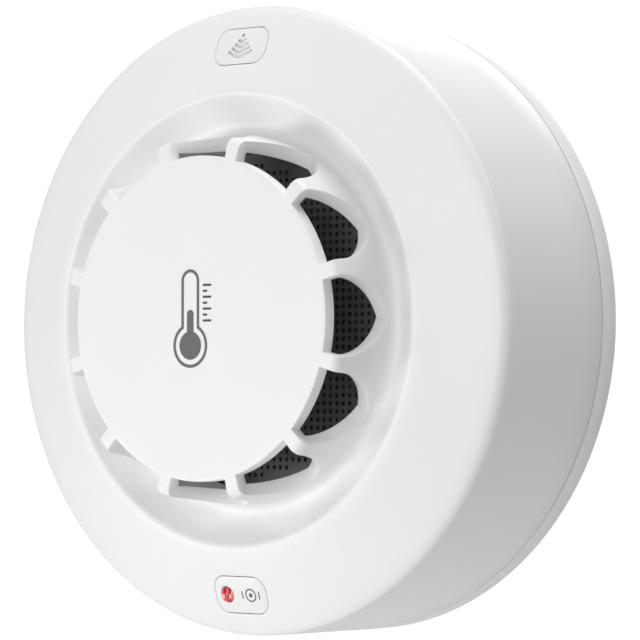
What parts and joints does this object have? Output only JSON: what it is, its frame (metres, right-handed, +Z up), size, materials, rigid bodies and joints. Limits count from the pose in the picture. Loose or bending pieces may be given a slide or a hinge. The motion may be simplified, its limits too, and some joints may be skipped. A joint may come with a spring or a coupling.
{
  "type": "heat detector",
  "caption": "Round white wall-mounted heat detector with a raised windowed air cage, test button, sound outlet and twist-lock base.",
  "frame": {"origin": "centre of the mounting base's back face, which lies against the wall", "axes": "+Y into the wall, the detector faces -Y, +Z up with the sound outlet at the top and the test button at the bottom"},
  "size_m": [0.12, 0.0499, 0.12],
  "materials": {
    "white_shell": "satin moulded",
    "white_key": "satin moulded",
    "screen_black": "matt",
    "inner_plastic": "matt",
    "board_green": "solder resist",
    "chip_black": "moulded",
    "tin_plate": "tinned",
    "screw_steel": "zinc plated",
    "brass": "rolled",
    "copper": "enamelled wire",
    "cell_wrap": "printed sleeve",
    "red_lens": "clear red",
    "bead": "epoxy"
  },
  "bodies": {
    "base": {"mounting_base": "white_shell"},
    "head": {"front_cover": "white_shell", "sound_grille": "white_shell", "insect_screen": "screen_black", "switch_body": "chip_black", "status_led": "red_lens", "rear_cover": "white_shell", "battery_door": "white_shell", "contact_link": "tin_plate", "battery_cell_1": "cell_wrap", "battery_cell_2": "cell_wrap", "battery_spring_1": "tin_plate", "battery_spring_2": "tin_plate", "contact_terminal_1": "tin_plate", "contact_terminal_2": "tin_plate", "main_board": "board_green", "radio_module": "board_green", "radio_shield": "tin_plate", "control_chip": "chip_black", "capacitor": "cell_wrap", "sound_coil": "copper", "sounder_case": "chip_black", "sounder_disc": "brass", "thermistor_sleeve": "inner_plastic", "thermistor": "bead", "housing_screw_1": "screw_steel", "housing_screw_2": "screw_steel", "housing_screw_3": "screw_steel", "board_screw_1": "screw_steel", "board_screw_2": "screw_steel", "board_screw_3": "screw_steel"},
    "test_key": {"test_button": "white_key", "button_lens": "red_lens", "switch_plunger": "chip_black"}
  },
  "joints": [
    {"name": "head_twist", "type": "hinge", "parent": "base", "child": "head", "pos_m": [0, 0, 0], "axis": [0, -1, 0], "range_deg": [0, 15]},
    {"name": "test_press", "type": "slide", "parent": "head", "child": "test_key", "axis": [0, 1, 0], "range_m": [0, 0.0005], "stiffness_N_per_m": 3000, "springref_m": -0.0005}
  ]
}
